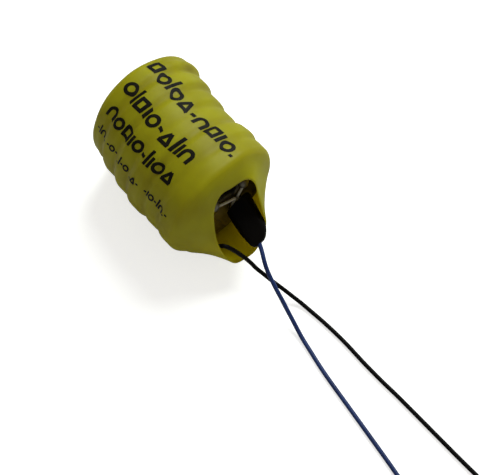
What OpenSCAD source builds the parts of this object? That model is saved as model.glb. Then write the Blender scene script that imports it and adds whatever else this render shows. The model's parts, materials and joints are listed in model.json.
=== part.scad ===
// Capacitor pack: six coin cells in series in a shrink sleeve, with two wire leads.
// The pack lies on its side. +X runs from the closed end to the open mouth, +Z is up.

/* [Coin cells] */
// Diameter of one coin cell
cell_d = 17; // [14:0.1:21]
// Thickness of one coin cell
cell_t = 3.05; // [2.4:0.05:3.8]
// Width of the can's rolled edge round the seal
crimp_w = 0.85; // [0.8:0.05:2]
// Width of the gasket ring that shows round the cap
gasket_w = 0.45; // [0.3:0.05:0.5]
// Edge radius at the bottom of the can
can_round = 0.8; // [0.4:0.05:0.9]

/* [Tabs and solder] */
// Thickness of the welded nickel tabs
tab_t = 0.2; // [0.1:0.01:0.25]
// Width of the tabs
tab_w = 3; // [2:0.1:4]
// Length of the tabs
tab_l = 8; // [6:0.1:9]

/* [Shrink sleeve] */
// Wall of the outer sleeve after shrinking
sleeve_wall = 0.3; // [0.2:0.01:0.4]
// Play between the cells and the outer sleeve
sleeve_gap = 0.05; // [0.03:0.01:0.1]
// Diameter of the hole that the sleeve leaves in the closed end
end_hole_d = 11; // [9:0.1:12]

/* [Wires] */
// Outside diameter of the wires
wire_d = 0.6; // [0.4:0.01:0.72]
// Diameter of the stranded core
core_d = 0.3; // [0.2:0.01:0.32]
// Length of bare tinned core at the free end
tip_l = 3; // [2:0.1:5]

/* [Charging circuit] */
// Diameter of the charging resistor
resistor_d = 1.5; // [1.3:0.05:1.6]
// Length of the charging resistor
resistor_l = 3.2; // [2.8:0.05:3.3]
// Diameter of the discharge diode
diode_d = 1.4; // [1.2:0.05:1.5]
// Length of the discharge diode
diode_l = 3; // [2.6:0.05:3.2]
// Diameter of the component leads
lead_d = 0.4; // [0.3:0.01:0.45]
// Wall of the small black sleeve over the circuit
joint_wall = 0.15; // [0.1:0.01:0.2]

/* [Hidden] */
CELLS = 6;
// How far each cell has slid sideways in the sleeve, first cell at the closed end
cell_shift = [1.1, 0.45, -0.1, -0.55, -0.4, -0.7];

// Construction of a cell, seen in section
cap_r = cell_d / 2 - crimp_w - gasket_w;
cap_edge = 0.15;
cap_step = 0.6;
cap_depth = 1;
flange_r = cap_r + 0.35;
lip_r = cap_r + gasket_w;
lip_x = 0.15;
lip_under = 0.45;
cavity_r = cell_d / 2 - 0.5;
gasket_x = 0.1;
crimp_round = 0.8;

cell_r = cell_d / 2;
pitch = cell_t + tab_t;
near_x = CELLS * pitch - tab_t;
last_shift = cell_shift[CELLS - 1];

// Sleeve: flat sides round it, with one flat side down
SIDES = 36;
side_a = 360 / SIDES;
floor_a = 8;
axis_z = cell_r + sleeve_gap + sleeve_wall;

// Which way the mouth looks, turned from straight up towards -Y
mouth_turn = 17.5;

// The black wire runs along the cells at this angle, turned from straight up towards -Y
run_a = 145;
wire_r = wire_d / 2;
wire_play = 0.02;
run_r = cell_r + wire_r + wire_play;
bump_play = 0.15;
bend_r = 1.1;
core_x = -(tab_t + core_d / 2 + wire_play);
bend_c = [core_x + bend_r, run_r - bend_r];

// Places in the mouth have three measures: reach past the last cell, distance from the
// pack's axis along the way the mouth looks, and distance across it. The last two are
// written for a 17 mm cell and grow with it.
mouth_k = cell_d / 17;
mouth_rim = [
    [1.25, 6.2, 0.6], [1.45, 5.8, 2.4], [1.95, 4.8, 4.2], [2.75, 3.2, 5.0],
    [3.65, 1.4, 4.4], [4.65, -0.5, 3.3], [5.55, -2.1, 2.5], [6.35, -3.5, 1.2],
    [6.65, -4.0, -1.2], [6.45, -3.8, -3.0], [5.95, -3.0, -4.3], [5.05, -1.2, -4.8],
    [4.25, 0.4, -4.5], [3.45, 1.9, -3.9], [2.65, 3.5, -2.9], [1.75, 5.2, -1.4]
];
rim_mid = [0, 1, -0.3];
rim_count = len(mouth_rim);

joint_in = [0.95, -1.5, 1.3];
joint_out = [6.8, -2.3, -0.2];
// Round the last cell's corner the black wire drops by this much for each reach
run_drop = [[0.15, 0.35], [0.8, 1.1]];
run_in_mouth = [
    [1.7, -3.75, -5.6], [2.6, -2.5, -5.15], [3.4, -1, -4.5], [4, -0.25, -3.9],
    [4.6, -0.5, -3.5], [5.3, -1.4, -3.25], [6, -2.5, -3.05], [6.6, -3.25, -2.95]
];

// Small helpers
function lerp(a, b, t) = a + (b - a) * t;
function arc(c, r, a0, a1, n) = [for (i = [0:n]) let (a = lerp(a0, a1, i / n)) c + r * [cos(a), sin(a)]];
function unit(v) = v / norm(v);
function cell_x(i) = i * pitch;
function ring_at(x, r, a, shift) = [x, shift - r * sin(a), axis_z + r * cos(a)];
function mouth_mm(p) = [
    near_x + p[0],
    last_shift - p[1] * sin(mouth_turn) + p[2] * cos(mouth_turn),
    axis_z + p[1] * cos(mouth_turn) + p[2] * sin(mouth_turn)
];
function mouth_at(p) = mouth_mm([p[0], p[1] * mouth_k, p[2] * mouth_k]);
function turned(a) = ((a % 360) + 540) % 360 - 180;
// Whether a corner at angle a is one of the two beside the flat side that is down
function low_corner(a) = abs(a - 180) < side_a;
function flat_k(a) = 1 / cos(low_corner(a) ? floor_a : side_a / 2);

// A smooth curve through points; t goes from 0 at b to 1 at c
function curve(a, b, c, d, t) = 0.5 * (2 * b + (c - a) * t
    + (2 * a - 5 * b + 4 * c - d) * t * t + (3 * b - a - 3 * c + d) * t * t * t);
// Points in between the ones of an open route
function smooth(p, steps) = concat(
    [for (i = [0:len(p) - 2]) for (s = [0:steps - 1])
        curve(p[max(i - 1, 0)], p[i], p[i + 1], p[min(i + 2, len(p) - 1)], s / steps)],
    [p[len(p) - 1]]
);
// The mouth's rim as a closed curve; u counts its points
function rim_pt(i) = mouth_rim[((i % rim_count) + rim_count) % rim_count];
function rim(u) = let (i = floor(u)) curve(rim_pt(i - 1), rim_pt(i), rim_pt(i + 1), rim_pt(i + 2), u - i);

// A tube swept along points, with flat sides and square ends
function two(a, b, c, d) = [[a, b, c], [a, c, d]];
function tangent(p, i) = unit(p[min(i + 1, len(p) - 1)] - p[max(i - 1, 0)]);
function turn_frame(f, t) = let (s = cross(t, f)) unit(cross(s, t));
function frames(p, i = 0, f = [0, 0, 1], out = []) =
    i == len(p) ? out :
    let (t = tangent(p, i), g = turn_frame(abs(t * f) > 0.98 ? [0, 1, 0.1] : f, t))
    frames(p, i + 1, g, concat(out, [[g, cross(t, g)]]));
WIRE_SIDES = 8;
module tube(p, d) {
    fr = frames(p);
    n = len(p);
    pts = [for (i = [0:n - 1]) for (k = [0:WIRE_SIDES - 1]) let (a = 360 * k / WIRE_SIDES)
        p[i] + d / 2 * (fr[i][0] * cos(a) + fr[i][1] * sin(a))];
    walls = [for (b = [0:WIRE_SIDES:(n - 2) * WIRE_SIDES]) for (k = [0:WIRE_SIDES - 1])
        let (m = (k + 1) % WIRE_SIDES) each two(b + k, b + WIRE_SIDES + k, b + WIRE_SIDES + m, b + m)];
    ends = [[for (k = [0:WIRE_SIDES - 1]) k],
        [for (k = [WIRE_SIDES - 1:-1:0]) (n - 1) * WIRE_SIDES + k]];
    polyhedron(pts, concat(walls, ends), convexity = 6);
}

// A thin wall between rings of points, outside and inside, open at both ends
module shell(outside, inside) {
    rows = len(outside);
    n = len(outside[0]);
    skin = rows * n;
    last = (rows - 1) * n;
    faces = [for (k = [0:n - 1]) let (m = (k + 1) % n) each concat(
        [for (b = [0:n:last - 1]) each two(b + k, b + n + k, b + n + m, b + m)],
        [for (b = [skin:n:skin + last - 1]) each two(b + m, b + n + m, b + n + k, b + k)],
        two(k, m, skin + m, skin + k),
        two(last + m, last + k, skin + last + k, skin + last + m)
    )];
    polyhedron(concat([for (r = outside) each r], [for (r = inside) each r]), faces, convexity = 10);
}

// ---- outer sleeve ----

// The inside of the sleeve has off = 0 and the outside has off = sleeve_wall
cap_play = 0.02;
end_ring_x = lip_x - sleeve_gap;
end_ring_r = cell_r - crimp_round;
// The film's end runs straight past the cap's edge to its hole
end_slope = (end_ring_x + cap_play) / (end_ring_r - cap_r + cap_edge);
hole_x = end_ring_x - end_slope * (end_ring_r - end_hole_d / 2);
valley = 0.2;
valley_from_end = 0.5;
valley_from_cap = lip_x + 0.5;
leave_steps = [0, 0.5, 1];
neck_steps = [0.3, 0.6, 0.82, 1];
leave_lift = 0.6;

// How much a place at angle a is lifted by the wire under the sleeve, and sunk by a valley
function lift(a) = let (off = abs(turned(a - run_a))) off > 25 ? 0 : pow(1 - off / 25, 1.6);
function mix(base, over, a) = lerp(base, over, lift(a));
function sink(a) = low_corner(a) ? 0 : valley;

// Radius of the sleeve's inside over the wire, where the cells on both sides have these shifts
function bump_r(shift, next) =
    norm([run_r * sin(run_a) + max(0, shift - next), run_r * cos(run_a)]) + wire_r + bump_play;
// Round the corner of a can or of the wire's bend, by the turn from the -X direction
function corner(c, r, turn) = c + r * [-cos(turn), sin(turn)];
function flatten(q, a) = [q[0], q[1] * flat_k(a)];

function hole_ring(a, off) =
    mix([hole_x - off, end_hole_d / 2], [core_x - wire_r - bump_play - off, end_hole_d / 2], a);
function end_ring(turn, a, off) =
    mix(flatten(corner([lip_x + crimp_round, end_ring_r], crimp_round + sleeve_gap + off, turn), a),
        corner(bend_c, bend_r + wire_r + bump_play + off, turn), a);
function wall_ring(x, shift, next, down, a, off) =
    [x, mix((cell_r + sleeve_gap + off - down) * flat_k(a), bump_r(shift, next) + off, a)];

// How steeply the sleeve leaves the last cell, at angle t from the way the mouth looks
function leave_a(t) = 36 + 20 * sin(t) + 10 * cos(t);
function last_ring(s, a, off) =
    let (
        turn = 90 + s * leave_a(mouth_turn - a),
        c = [near_x - can_round, cell_r - can_round],
        q = flatten(corner(c, can_round + sleeve_gap + off, turn), a)
    )
    mix(q, q + [leave_lift * s, bump_r(0, 0) - (cell_r + sleeve_gap) * flat_k(a)], a);
// The neck is a smooth curve from the last ring to the mouth's rim
function neck_pt(s, a, off) =
    let (
        t = mouth_turn - a,
        q = last_ring(1, a, off),
        from = [q[0] - near_x, q[1] * cos(t), q[1] * sin(t)],
        edge = rim(t * rim_count / 360),
        inward = unit([0, rim_mid[1] - edge[1], rim_mid[2] - edge[2]]),
        to = [edge[0], edge[1] * mouth_k, edge[2] * mouth_k] + (sleeve_wall - off) * inward,
        turn = leave_a(t),
        by = from + 0.42 * norm(to - from) * [cos(turn), -sin(turn) * cos(t), -sin(turn) * sin(t)]
    )
    mouth_mm((1 - s) * (1 - s) * from + 2 * s * (1 - s) * by + s * s * to);

ring_angles = [for (k = [0:SIDES - 1]) let (a = side_a * (k + 0.5))
    low_corner(a) ? 180 + floor_a * sign(a - 180) : a];
function around(shift, qs) = [for (k = [0:SIDES - 1]) ring_at(qs[k][0], qs[k][1], ring_angles[k], shift)];
function joint_rings(i, off) =
    let (here = cell_shift[i], next = cell_shift[i + 1], mid = (here + next) / 2, x = cell_x(i) + cell_t)
    [
        around(here, [for (a = ring_angles) wall_ring(x - valley_from_end, here, next, 0, a, off)]),
        around(mid, [for (a = ring_angles)
            wall_ring(x + tab_t / 2, mid, min(here, next), sink(a), a, off)]),
        around(next, [for (a = ring_angles) wall_ring(x + tab_t + valley_from_cap, next, here, 0, a, off)])
    ];
function sleeve_rings(off) = concat(
    [around(cell_shift[0], [for (a = ring_angles) hole_ring(a, off)])],
    [for (turn = [0:30:90]) around(cell_shift[0], [for (a = ring_angles) end_ring(turn, a, off)])],
    [for (i = [0:CELLS - 2]) each joint_rings(i, off)],
    [for (s = leave_steps) around(last_shift, [for (a = ring_angles) last_ring(s, a, off)])],
    [for (s = neck_steps) [for (a = ring_angles) neck_pt(s, a, off)]]
);
outer_rings = sleeve_rings(sleeve_wall);
inner_rings = sleeve_rings(0);
sleeve_pts = [for (r = outer_rings) each r];

// The origin is under the middle of the object without its free wires
function low(k) = min([for (p = sleeve_pts) p[k]]);
function high(k) = max([for (p = sleeve_pts) p[k]]);
mid_x = (low(0) + max(high(0), near_x + joint_out[0])) / 2;
mid_y = (low(1) + high(1)) / 2;
module in_row() {
    translate([-mid_x, -mid_y, 0]) children();
}

module outer_sleeve() {
    color("#b9b31f") in_row() shell(outer_rings, inner_rings);
}

// ---- coin cells ----

module at_cell(i) {
    in_row() translate([cell_x(i), cell_shift[i], axis_z]) rotate([0, 90, 0]) children();
}
module cell_can(i) {
    section = concat(
        [[0, cap_depth], [cavity_r, cap_depth], [cavity_r, lip_under], [lip_r, lip_under], [lip_r, lip_x]],
        arc([cell_r - crimp_round, lip_x + crimp_round], crimp_round, -90, 0, 5),
        arc([cell_r - can_round, cell_t - can_round], can_round, 0, 90, 5),
        [[0, cell_t]]
    );
    color("#b8babd") at_cell(i) rotate_extrude($fn = 96) polygon(section);
}
module cell_gasket(i) {
    section = [
        [cap_r, gasket_x], [lip_r, gasket_x], [lip_r, lip_under], [cavity_r, lip_under],
        [cavity_r, cap_depth], [flange_r, cap_depth], [flange_r, cap_step], [cap_r, cap_step]
    ];
    color("#1c1c1e") at_cell(i) rotate_extrude($fn = 96) polygon(section);
}
module cell_cap(i) {
    section = [
        [0, 0], [cap_r - cap_edge, 0], [cap_r, cap_edge], [cap_r, cap_step],
        [flange_r, cap_step], [flange_r, cap_depth], [0, cap_depth]
    ];
    color("#c9cbce") at_cell(i) rotate_extrude($fn = 96) polygon(section);
}

// ---- tabs ----

// Nickel strip, flat side down on z = 0
module tab() {
    color("#a9a79f") translate([-tab_w / 2, -tab_l / 2, 0]) cube([tab_w, tab_l, tab_t]);
}
module series_tab(i) {
    at_cell(i) translate([0, (cell_shift[i + 1] - cell_shift[i]) / 2, cell_t]) rotate(90) tab();
}
// Lies on the cap of the first cell, in line with the black wire
module negative_tab() {
    at_cell(0) rotate(90 + run_a) translate([0, 0, -tab_t]) tab();
}
// Lies on the can of the last cell, off its middle
positive_tab_at = [0, 1.4, 1.2];
module in_mouth(p) {
    in_row() translate(mouth_at(p)) rotate([mouth_turn, 0, 0]) rotate([0, 90, 0]) children();
}
module positive_tab() {
    in_mouth(positive_tab_at) tab();
}

// Blob of solder on a tab, round the end of a wire or lead
blob_r = 0.8;
blob_h = 0.65;
module blob() {
    color("#c3c4c8") rotate_extrude($fn = 32)
        polygon(concat([[0, 0]], [for (a = [0:15:90]) [blob_r * cos(a), blob_h * sin(a)]]));
}

// ---- black wire inside the pack ----

core_in = 2;
core_out = 4.9;
solder_at = 2.7;
core_pts = [for (r = [core_in, core_out]) ring_at(core_x, r, run_a, cell_shift[0])];
// Level with each cell, and at a joint level with the one of the two that reaches farther
run_stops = concat(
    [for (i = [0:CELLS - 2]) each [
        [cell_x(i) + cell_t / 2, cell_shift[i]],
        [cell_x(i) + cell_t + tab_t / 2, min(cell_shift[i], cell_shift[i + 1])]
    ]],
    [[cell_x(CELLS - 1) + cell_t / 2, last_shift], [near_x - valley_from_end, last_shift]]
);
run_pts = concat(
    [core_pts[1]],
    [for (turn = [0:18:90]) let (q = corner(bend_c, bend_r, turn))
        ring_at(q[0], q[1], run_a, cell_shift[0])],
    [for (q = run_stops) ring_at(q[0], run_r, run_a, q[1])],
    smooth(concat(
        [for (q = run_drop) ring_at(near_x + q[0], run_r - q[1], run_a, last_shift)],
        [for (p = run_in_mouth) mouth_at(p)]
    ), 2)
);
module black_wire_run() {
    color("#16161a") in_row() tube(run_pts, wire_d);
}
module black_wire_core() {
    color("#c8c6c0") in_row() tube(core_pts, core_d);
}
module negative_solder() {
    difference() {
        at_cell(0) rotate(90 + run_a) translate([0, solder_at, -tab_t]) mirror([0, 0, 1]) blob();
        black_wire_core();
    }
}

// ---- charging circuit ----

// The resistor and the diode lie side by side on the line from joint_in to joint_out
function along(x, side = 0) =
    let (s = (x - joint_in[0]) / (joint_out[0] - joint_in[0]), p = lerp(joint_in, joint_out, s))
    mouth_mm([p[0], p[1] * mouth_k, p[2] * mouth_k + side]);
parts_gap = 0.15;
resistor_side = (diode_d + parts_gap) / 2;
diode_side = -(resistor_d + parts_gap) / 2;
part_x = 1.15;
along_dir = unit(along(joint_out[0]) - along(joint_in[0]));
function part_pt(side, s) = along(part_x, side) + s * along_dir;
body_edge = 0.25;
module on_line(p) {
    in_row() translate(p) rotate([0, acos(along_dir[2]), atan2(along_dir[1], along_dir[0])]) children();
}
module body(side, r, l) {
    section = [[0, 0], [r - body_edge, 0], [r, body_edge], [r, l - body_edge], [r - body_edge, l], [0, l]];
    on_line(part_pt(side, 0)) rotate_extrude($fn = 40) polygon(section);
}
module resistor_body() {
    color("#7a8fa6") body(resistor_side, resistor_d / 2, resistor_l);
}
module diode_body() {
    color("#c4683a") body(diode_side, diode_d / 2, diode_l);
}

// Leads that come down on the tab of the last cell
lead_x = tab_t + lead_d / 2 + wire_play;
resistor_foot = [0.6, 3.95];
diode_foot = [1.9, -1.05];
resistor_lead_in_pts = concat(
    [part_pt(resistor_side, 0), part_pt(resistor_side, -0.3)],
    [for (p = [
        [0.65, -1.4, 1.95], [0.48, -1.15, 2], [lead_x, -0.8, 2.25], [lead_x, -0.3, 2.85],
        [lead_x, 0.3, 3.6], [lead_x, 0.75, 4.15]
    ]) mouth_at(p)]
);
diode_lead_in_pts = concat(
    [part_pt(diode_side, 0), part_pt(diode_side, -0.3)],
    [for (p = [
        [0.7, -1.45, 0.75], [0.55, -1.25, 1.05], [lead_x, -0.85, 1.1], [lead_x, -0.3, 0.75],
        [lead_x, 0.8, -0.15], [lead_x, 2.15, -1.25]
    ]) mouth_at(p)]
);
// Leads at the other end, which meet the core of the blue wire
joint_x = 5;
lead_side = (core_d + lead_d) / 2 + wire_play;
joint_r = 0.62;
joint_l = 1.3;
resistor_lead_out_pts = concat(
    [part_pt(resistor_side, resistor_l), part_pt(resistor_side, resistor_l + 0.15)],
    [for (p = [[-0.45, 0.65], [-0.25, 0.45], [0, lead_side], [0.3, lead_side]])
        along(joint_x + p[0], p[1])]
);
diode_lead_out_pts = concat(
    [part_pt(diode_side, diode_l), part_pt(diode_side, diode_l + 0.2)],
    [for (p = [[-0.5, -0.6], [-0.25, -0.43], [0, -lead_side], [0.3, -lead_side]])
        along(joint_x + p[0], p[1])]
);
blue_core_pts = [for (x = [joint_x - 0.35, joint_x + 0.75]) along(x)];
blue_tail_pts = [for (x = [joint_x + 0.75, joint_x + 1.25, joint_out[0] - 0.05]) along(x)];
module lead(p) {
    color("#c0bfb9") in_row() tube(p, lead_d);
}
module resistor_lead_in() {
    lead(resistor_lead_in_pts);
}
module diode_lead_in() {
    lead(diode_lead_in_pts);
}
module resistor_lead_out() {
    lead(resistor_lead_out_pts);
}
module diode_lead_out() {
    lead(diode_lead_out_pts);
}
module foot_solder(foot) {
    in_mouth([tab_t, foot[0], foot[1]]) blob();
}
module resistor_solder() {
    difference() {
        foot_solder(resistor_foot);
        resistor_lead_in();
    }
}
module diode_solder() {
    difference() {
        foot_solder(diode_foot);
        diode_lead_in();
    }
}
module joint_solder() {
    color("#c3c4c8") difference() {
        on_line(along(joint_x)) rotate_extrude($fn = 32)
            polygon([for (a = [-90:15:90]) [joint_r * cos(a), joint_l / 2 * sin(a)]]);
        blue_wire_core();
        resistor_lead_out();
        diode_lead_out();
    }
}
module blue_wire_core() {
    color("#c8c6c0") in_row() tube(blue_core_pts, core_d);
}
module blue_wire_tail() {
    color("#2b4f9a") in_row() tube(blue_tail_pts, wire_d);
}

// Black sleeve over the circuit, pressed flat: place along it, width across, thickness, offset
joint_play = 0.15;
joint_wide = resistor_d + parts_gap + diode_d + 2 * (joint_wall + joint_play);
joint_thick = max(resistor_d, diode_d) + 2 * (joint_wall + joint_play);
joint_sections = [
    [joint_in[0], joint_wide, joint_thick, 0], [4.3, joint_wide, joint_thick - 0.05, 0.1],
    [5.6, 3, 1.7, 0.35], [6.3, 2.4, 1.4, 0.35], [joint_out[0], 1.6, 1, 0.25]
];
JOINT_SIDES = 24;
forward_dir = [0, -sin(mouth_turn), cos(mouth_turn)];
across_dir = [0, cos(mouth_turn), sin(mouth_turn)];
function joint_ring(q, in) =
    let (r = q[2] / 2 - in, reach = (q[1] - q[2]) / 2)
    [for (k = [0:JOINT_SIDES - 1]) let (a = 360 * (k + 0.5) / JOINT_SIDES)
        along(q[0], q[3]) + r * cos(a) * forward_dir + (r * sin(a) + reach * sign(sin(a))) * across_dir];
function joint_rings_in(in) = [for (q = joint_sections) joint_ring(q, in)];
module joint_sleeve() {
    color("#1b1b1d") in_row() shell(joint_rings_in(0), joint_rings_in(joint_wall));
}

// ---- free wires ----

coil_r = 5.6 * wire_d;
coil_h = 1.9 * wire_d;
tie_t = 0.15;
tie_w = 1;
stub_in = 3.6 * wire_d;
stub_out = 3.5;
outer_turn = coil_r + wire_r;
black_coil_at = [71.3, -3.2];
black_coil_turn = 0;
blue_coil_at = [64.75, -11.35];
blue_coil_turn = -5;

// Routes from the pack to the coils; the last number is the height of the wire's underside
black_route = [
    [26.5, -2.4, 4.4], [27.1, -2.3, 4.1], [27.8, -2.2, 3.7], [28.7, -1.9, 3.25], [29.8, -1.6, 2.65],
    [30.9, -1.2, 2], [32, -0.8, 1.35], [33, -0.5, 0.8], [34, -0.2, 0.35], [35, 0, 0.1], [36, 0.1, 0],
    [38, 0.3, 0], [40, 0.4, 0], [42, 0.45, 0], [44, 0.4, 0], [46, 0.3, 0], [48, 0.3, 0], [50, 0.3, 0],
    [52, 0.4, 0], [55, 0.4, 0], [58, 0.4, 0], [61, 0.4, 0], [64, 0.4, 0], [66.5, 0.45, 0.05]
];
blue_route = [
    [26.6, -0.4, 6], [27.2, -0.7, 5.95], [27.9, -1.1, 5.75], [28.9, -1.6, 5.3], [30, -1.9, 4.6],
    [31.1, -2.1, 3.9], [32.2, -2.3, 3.2], [33.2, -2.4, 2.5], [34.2, -2.6, 1.8], [35.2, -2.75, 1.2],
    [36.2, -2.95, 0.7], [37.3, -3.2, 0.3], [38.6, -3.5, 0.05], [40.6, -3.9, 0], [42.6, -4.35, 0],
    [44.6, -4.7, 0], [46.6, -5, 0], [49, -5.35, 0], [52, -5.8, 0], [55, -6.25, 0], [58, -6.7, 0],
    [60.5, -7.15, 0.05]
];

function stub_start(at, turn) = [at[0] - stub_in * cos(turn) - outer_turn * sin(turn),
    at[1] - stub_in * sin(turn) + outer_turn * cos(turn), tie_t + wire_r];
// The wire goes on from the piece that ends at the last of these points
function wire_pts(before, route, at, turn) = let (from = before[len(before) - 1]) concat(
    [from, from + 0.3 * tangent(before, len(before) - 1)],
    [for (p = route) p + [0, 0, wire_r]],
    [stub_start(at, turn) - 0.5 * [cos(turn), sin(turn), 0], stub_start(at, turn)]
);
black_pts = wire_pts(run_pts, black_route, black_coil_at, black_coil_turn);
blue_pts = wire_pts(blue_tail_pts, blue_route, blue_coil_at, blue_coil_turn);

module at_coil(at, turn) {
    in_row() translate([at[0], at[1], 0]) rotate(turn) children();
}
module coil_ring() {
    translate([0, 0, tie_t]) rotate_extrude($fn = 48) translate([coil_r - wire_d, 0])
        square([2 * wire_d, coil_h]);
}
module stub(l) {
    rotate([90, 0, 0]) cylinder(h = l, d = wire_d, $fn = WIRE_SIDES);
}
// The turns as one ring, with the wire's way in and its free end
module coil() {
    coil_ring();
    translate([0, outer_turn, tie_t + wire_r]) rotate(-90) stub(stub_in);
    translate([outer_turn, 0, tie_t + wire_r]) stub(stub_out);
}
module coil_tie() {
    difference() {
        rotate(-135) translate([coil_r - wire_d - tie_t, -tie_w / 2, 0])
            cube([2 * (wire_d + tie_t), tie_w, coil_h + 2 * tie_t]);
        coil_ring();
    }
}
module wire_tip() {
    color("#c8c6c0") translate([outer_turn, -stub_out, tie_t + wire_r]) rotate([90, 0, 0])
        cylinder(h = tip_l, d = core_d, $fn = 24);
}
module black_wire() {
    color("#16161a") in_row() tube(black_pts, wire_d);
}
module black_coil() {
    color("#16161a") at_coil(black_coil_at, black_coil_turn) coil();
}
module black_coil_tie() {
    color("#e8e6df") at_coil(black_coil_at, black_coil_turn) coil_tie();
}
module black_wire_tip() {
    at_coil(black_coil_at, black_coil_turn) wire_tip();
}
module blue_wire() {
    color("#2b4f9a") in_row() tube(blue_pts, wire_d);
}
module blue_coil() {
    color("#2b4f9a") at_coil(blue_coil_at, blue_coil_turn) coil();
}
module blue_coil_tie() {
    color("#e8e6df") at_coil(blue_coil_at, blue_coil_turn) coil_tie();
}
module blue_wire_tip() {
    at_coil(blue_coil_at, blue_coil_turn) wire_tip();
}

function numbered(name, n) = [for (i = [1:n]) str(name, i)];

outer_sleeve();
for (i = [0:CELLS - 1]) {
    cell_can(i);
    cell_gasket(i);
    cell_cap(i);
}
for (i = [0:CELLS - 2]) {
    series_tab(i);
}
negative_tab();
positive_tab();
negative_solder();
black_wire_core();
black_wire_run();
resistor_body();
resistor_lead_in();
resistor_lead_out();
resistor_solder();
diode_body();
diode_lead_in();
diode_lead_out();
diode_solder();
joint_solder();
blue_wire_core();
blue_wire_tail();
joint_sleeve();
black_wire();
black_coil();
black_coil_tie();
black_wire_tip();
blue_wire();
blue_coil();
blue_coil_tie();
blue_wire_tip();
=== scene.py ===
import json
import math

import bpy
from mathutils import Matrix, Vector, noise

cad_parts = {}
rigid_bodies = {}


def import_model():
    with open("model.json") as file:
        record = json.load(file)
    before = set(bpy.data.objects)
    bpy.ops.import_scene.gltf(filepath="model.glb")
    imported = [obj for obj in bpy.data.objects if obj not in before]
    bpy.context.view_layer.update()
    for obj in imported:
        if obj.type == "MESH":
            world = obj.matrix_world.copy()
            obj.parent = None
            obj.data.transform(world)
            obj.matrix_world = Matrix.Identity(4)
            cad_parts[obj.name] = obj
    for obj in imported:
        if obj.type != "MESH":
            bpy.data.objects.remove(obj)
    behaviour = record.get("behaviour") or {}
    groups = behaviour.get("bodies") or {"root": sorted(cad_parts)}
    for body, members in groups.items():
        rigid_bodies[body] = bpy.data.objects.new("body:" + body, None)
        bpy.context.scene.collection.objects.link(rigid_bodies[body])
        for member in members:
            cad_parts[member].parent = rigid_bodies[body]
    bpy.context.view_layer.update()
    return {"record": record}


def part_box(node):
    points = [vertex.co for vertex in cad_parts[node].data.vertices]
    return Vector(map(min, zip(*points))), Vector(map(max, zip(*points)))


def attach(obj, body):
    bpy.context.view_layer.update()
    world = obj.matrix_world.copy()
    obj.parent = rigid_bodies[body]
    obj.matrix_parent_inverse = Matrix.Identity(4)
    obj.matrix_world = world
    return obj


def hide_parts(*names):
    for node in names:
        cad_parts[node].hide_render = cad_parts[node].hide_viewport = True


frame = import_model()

# ---------------------------------------------------------------- sizes, in millimetres
# The pack is worked out in its own frame, as in the CAD source: x = 0 at the cap of the
# first cell, z = 0 on the floor. row() turns a place in it into the frame's metres.
CELLS = 6
CELL_R = 8.5
CELL_T = 3.05
TAB_T = 0.2
PITCH = CELL_T + TAB_T
# The last cell's flat face, which looks out of the mouth
NEAR_X = CELLS * PITCH - TAB_T
# How far each cell has slid sideways, first cell at the closed end
SHIFT = [1.1, 0.45, -0.1, -0.55, -0.4, -0.7]
# Play between the cells and the film, the film's thickness, and play between other pieces
GAP = 0.05
WALL = 0.3
PLAY = 0.02
AXIS_Z = CELL_R + GAP + WALL
# The first cell's rounded end starts here
CAP_EDGE_X = 0.15
CRIMP_ROUND = 0.8
CAN_ROUND = 0.8
WIRE_D = 0.6
CORE_D = 0.3
LEAD_D = 0.4
# Where the inner black wire lies round the pack, and how the mouth is turned, in degrees
RUN_ANGLE = 145
MOUTH_TURN = 17.5

# The frame's origin in the pack's millimetres, from where the first can lies in the frame
first_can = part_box("cell_can_1")
MID_X = CAP_EDGE_X - first_can[0][0] * 1000
MID_Y = SHIFT[0] - (first_can[0][1] + first_can[1][1]) * 500


def row(p):
    """A place in the pack's millimetres, as one in the frame's metres."""
    return Vector(((p[0] - MID_X) / 1000, (p[1] - MID_Y) / 1000, p[2] / 1000))


def sind(a):
    return math.sin(math.radians(a))


def cosd(a):
    return math.cos(math.radians(a))


def lerp(a, b, t):
    return a + (b - a) * t


def ease(t):
    """A smooth step, from 0 where t is 0 or less to 1 where it is 1 or more."""
    t = min(max(t, 0.0), 1.0)
    return t * t * (3 - 2 * t)


def apart(a, b):
    """How far apart two directions are, in degrees."""
    return abs((a - b + 180) % 360 - 180)


def polar(x, r, a, shift):
    """A place round a cell's axis; a turns from straight up towards -Y."""
    return Vector((x, shift - r * sind(a), AXIS_Z + r * cosd(a)))


def mouth_at(reach, forward, across):
    """A place in the mouth: past the last cell, along the way the mouth looks, and across it."""
    return Vector((
        NEAR_X + reach,
        SHIFT[-1] - forward * sind(MOUTH_TURN) + across * cosd(MOUTH_TURN),
        AXIS_Z + forward * cosd(MOUTH_TURN) + across * sind(MOUTH_TURN),
    ))


# ---------------------------------------------------------------- camera
def make_camera():
    """The camera looks down on the pack from the side of the mouth."""
    azimuth, elevation = 47.93, 65.7
    distance = 0.15
    aim = row((21.99, 0.93, 0))
    back = Vector((
        sind(azimuth) * cosd(elevation),
        -cosd(azimuth) * cosd(elevation),
        sind(elevation),
    ))
    data = bpy.data.cameras.new("camera")
    data.sensor_width = 36
    data.lens = 78.9
    data.clip_start = 0.005
    data.clip_end = 10
    cam = bpy.data.objects.new("camera", data)
    bpy.context.scene.collection.objects.link(cam)
    cam.location = aim + back * distance
    cam.rotation_mode = "QUATERNION"
    cam.rotation_quaternion = (-back).to_track_quat("-Z", "Y")
    bpy.context.scene.camera = cam


make_camera()


# ---------------------------------------------------------------- helpers for pieces
def add_piece(name, data, slot, *nodes):
    """A visible piece in its slot's material, with the CAD nodes that it stands for."""
    obj = bpy.data.objects.new(name, data)
    bpy.context.scene.collection.objects.link(obj)
    data.materials.append(LOOKS[slot])
    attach(obj, "root")
    if nodes:
        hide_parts(*nodes)
    return obj


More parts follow.
